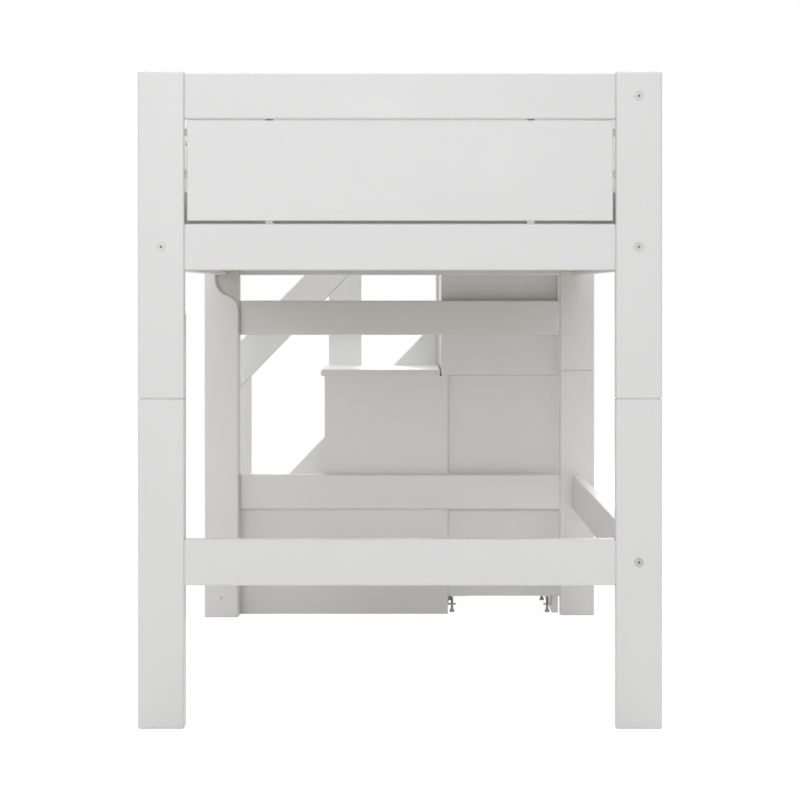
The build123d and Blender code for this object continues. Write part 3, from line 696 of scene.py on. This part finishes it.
def stitch_tree():
    """Geometry nodes that lay stitches along the edges of a mesh."""
    tree, build, (lines, pitch, length, thickness, thread) = started(
        "stitches", Stitch_Pitch="Float", Stitch_Length="Float", Thread_Thickness="Float", Thread="Material")
    curve = build.node("GeometryNodeMeshToCurve", {}, {"Mesh": lines})
    curve = build.node("GeometryNodeResampleCurve", {"mode": "LENGTH"}, {"Curve": curve, "Length": pitch})
    stitch = build.node("GeometryNodeMeshUVSphere", {}, {"Segments": 5, "Rings": 4, "Radius": 0.5})
    size = build.node("ShaderNodeCombineXYZ", {}, {"X": thickness, "Y": thickness, "Z": length})
    stitch = build.node("GeometryNodeTransform", {}, {"Geometry": stitch, "Scale": size})
    tangent = build.node("GeometryNodeInputTangent")
    turn = build.node("FunctionNodeAlignRotationToVector", {"axis": "Z"}, {"Vector": tangent})
    stitched = build.node("GeometryNodeInstanceOnPoints", {}, {
        "Points": curve, "Instance": stitch, "Rotation": turn})
    ended(build, stitched, thread)
    return tree


def cotton_thread(start):
    twist = start.noise(start.places(), 900.0, 1.0)
    return {
        "Base Color": twist.blend(toned(thread_colour, 0.85), thread_colour),
        "Roughness": 0.7 + twist * 0.15,
        "Normal": twist.relief(0.4, 0.0002),
    }


thread = surface("cotton_thread", cotton_thread)
across, along, up = cover_counts
seam_points = []
seam_edges = []
ready = cover.evaluated_get(bpy.context.evaluated_depsgraph_get())
seam_lines = [[(i, j, up) for j in range(1, along)] for i in range(square_parts, across, square_parts)]
seam_lines += [[(i, j, up) for i in range(1, across)] for j in range(square_parts, along, square_parts)]
for line in seam_lines:
    first = len(seam_points)
    seam_points += [ready.data.vertices[cover_index[key]].co + Vector((0, 0, stitch_lift)) for key in line]
    seam_edges += [(n, n + 1) for n in range(first, len(seam_points) - 1)]
stitches = grown("mattress_stitches", seam_points, seam_edges, stitch_tree(), **{
    "Stitch Pitch": stitch_pitch, "Stitch Length": stitch_length, "Thread Thickness": stitch_thickness,
    "Thread": thread})
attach(stitches, "bed")

# The staircase is a carcass of lacquered fibreboard: two stepped sides, the niche's boards and the closed box
# over the niche. The boards are glued where they meet, so no screw shows outside.
for node in ("stair_near_side", "stair_far_side", "niche_left_side", "niche_right_side", "niche_back",
             "landing_box_back", "landing_box_floor", "landing_box_panel"):
    lacquer(node, None)

# The treads and the landing are thicker lacquered boards with a rounded nose, in a harder, duller lacquer
# that takes shoes and bare feet. Each is glued on to its step.
step_roughness = 0.44
for node in ("lower_tread", "upper_tread", "landing_board"):
    lacquer(node, None, roughness=step_roughness)

# Three drawers fill the stairs behind their risers. The front is lacquered fibreboard with a scooped grip,
# and the box behind it is birch plywood, whose plies show on its upper edges.
ply_light = (0.66, 0.5, 0.31)
ply_dark = (0.4, 0.26, 0.13)
ply_thickness = 0.0015
wall_thickness = 0.012
front_screw_aside = 0.06
front_screw_above = 0.05


def birch_plywood(node):
    """Clear-lacquered plywood for one drawer box, with plies on the edges of its four walls."""
    low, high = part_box(node)

    def describe(start):
        spot = start.places()
        x, y, height = (spot.along(axis) for axis in range(3))
        upward = start.node("ShaderNodeNewGeometry", output="Normal").along(2).step(0.7, 0.9)
        from_front = start.maths("MINIMUM", x - low.x, high.x - x)
        end_wall = 1 - from_front.step(wall_thickness, wall_thickness + 0.0002)
        reach = y + end_wall * (x - y)
        ply = start.maths("SINE", reach * (math.pi / ply_thickness)).step(-0.2, 0.2)
        rim = upward * height.step(high.z - 0.001, high.z - 0.0005)
        flecks = start.noise(start.places((26, 26, 26)), 1.0, 4.0)
        figure = start.noise(start.places((4, 60, 60)), 1.0, 3.0)
        face = (figure * 0.7 + flecks * 0.3 - 0.15).blend(ply_light, toned(ply_light, 0.82))
        edge = ply.blend(ply_dark, ply_light)
        return {
            "Base Color": rim.blend(face, edge),
            "Roughness": 0.4 + flecks * 0.16,
            "Normal": (figure * 0.5 + ply * rim).relief(0.3, 0.0001),
        }

    dress(surface(f"birch_plywood_{node}", describe), node)


for word in ("lower", "middle", "upper"):
    lacquer(f"{word}_drawer_front", None)
    birch_plywood(f"{word}_drawer_box")
    box_low, box_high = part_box(f"{word}_drawer_box")
    inside = box_low.x + wall_thickness
    places = []
    for y in (box_low.y + front_screw_aside, box_high.y - front_screw_aside):
        for z in (box_low.z + front_screw_above, box_high.z - front_screw_above):
            places.append((inside, y, z))
    screws(f"{word}_drawer_front_screws", f"{word}_drawer", places, (1, 0, 0), depth=drawer_head_depth)

# The runners are birch plywood battens on the inside of the stairs. The drawers slide on their waxed tops.
runner_birch = (0.66, 0.5, 0.32)


def waxed_birch(start):
    flecks = start.noise(start.places((70, 700, 700)), 1.0, 3.0)
    clouds = start.noise(start.places((3, 30, 30)), 1.0, 2.0)
    return {
        "Base Color": (flecks * 0.6 + clouds * 0.4).blend(runner_birch, toned(runner_birch, 0.8)),
        "Roughness": 0.36 + flecks * 0.14,
        "Normal": flecks.relief(0.3, 0.0001),
    }


dress(surface("waxed_birch", waxed_birch), "drawer_runners")

# The banister's newels, handrail and sloping boards are solid pine in the same lacquer as the bed. The grain
# follows the slope in the handrail and in the boards beside the steps.
step_rise = 0.3185
step_run = 0.3071
slope = math.atan2(step_rise, step_run)
for node in ("stair_newels", "landing_newels"):
    lacquer(node, "Z")
for node in ("handrail", "stair_guard_boards"):
    lacquer(node, "X", (0, slope, 0))
lacquer("landing_rails", "X")

# Four levelling feet stand under the niche on steel brackets. They are zinc plated, dull grey, and each has a
# rolled thread on its stem, which turns in the bracket, and a hexagon above its round pad.
zinc_grey = (0.42, 0.42, 0.425)


def dull_zinc(start):
    clouds = start.noise(start.places(), 160.0, 3.0)
    return {
        "Base Color": clouds.blend(toned(zinc_grey, 0.6), zinc_grey),
        "Metallic": 0.7,
        "Roughness": 0.42 + clouds * 0.2,
        "Normal": clouds.relief(0.25, 0.0001),
    }


foot_finish = surface("dark_zinc", dull_zinc)
dress(foot_finish, "foot_brackets")
thread_pitch = 0.001
thread_radius = 0.00305
thread_depth = 0.0003
thread_end = 0.001
turn_parts = 14


def thread_tree():
    """Geometry nodes that wind a ridge upwards from each point of a mesh."""
    tree, build, (points, turns, length, radius, ridge, metal) = started(
        "foot_thread", Turns="Float", Length="Float", Radius="Float", Ridge="Float", Metal="Material")
    winding = build.node("GeometryNodeCurveSpiral", {}, {
        "Resolution": turn_parts, "Rotations": turns, "Start Radius": radius, "End Radius": radius,
        "Height": length})
    profile = build.node("GeometryNodeCurvePrimitiveCircle", {}, {"Resolution": 3, "Radius": ridge})
    wound = build.node("GeometryNodeCurveToMesh", {}, {
        "Curve": winding, "Profile Curve": profile, "Fill Caps": True})
    wound = build.node("GeometryNodeInstanceOnPoints", {}, {"Points": points, "Instance": wound})
    ended(build, wound, metal)
    return tree


foot_thread = thread_tree()
hexagon_top = 0.009
for word in ("front_left", "front_right", "rear_left", "rear_right"):
    dress(foot_finish, f"{word}_levelling_foot")
    foot_low, foot_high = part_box(f"{word}_levelling_foot")
    length = foot_high.z - foot_low.z - hexagon_top - thread_end
    middle = (foot_low + foot_high) / 2
    thread_start = (middle.x, middle.y, foot_low.z + hexagon_top)
    made = grown(f"{word}_foot_thread", [thread_start], [], foot_thread, **{
        "Turns": length / thread_pitch, "Length": length, "Radius": thread_radius, "Ridge": thread_depth,
        "Metal": foot_finish})
    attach(made, f"{word}_foot")
